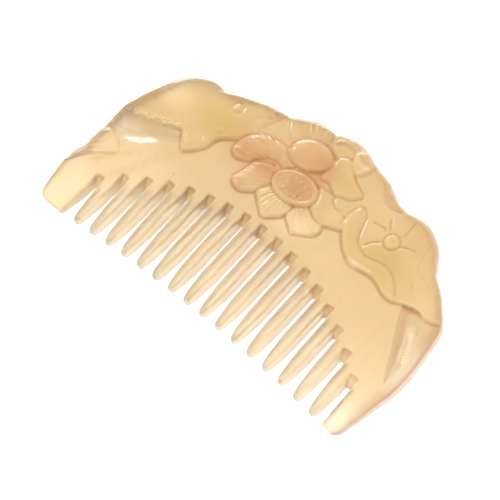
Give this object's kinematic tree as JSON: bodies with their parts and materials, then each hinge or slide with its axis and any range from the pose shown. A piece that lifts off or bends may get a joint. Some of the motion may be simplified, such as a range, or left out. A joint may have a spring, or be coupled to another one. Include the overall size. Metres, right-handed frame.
{
  "type": "horn comb",
  "caption": "Flat hair comb carved from one plate of horn, with tapered teeth between broad guards and a spine in low relief of lotus, fish and flower.",
  "frame": {"origin": "middle of the comb's outline, on the flat back that it lies on", "axes": "+X along the comb's length with the fish at -X, +Y from the teeth towards the spine, +Z out of the carved face"},
  "size_m": [0.1244, 0.0692, 0.008],
  "materials": {
    "horn": "polished translucent amber horn, paler at the teeth and guards"
  },
  "bodies": {
    "root": {"comb": "horn"}
  },
  "joints": []
}
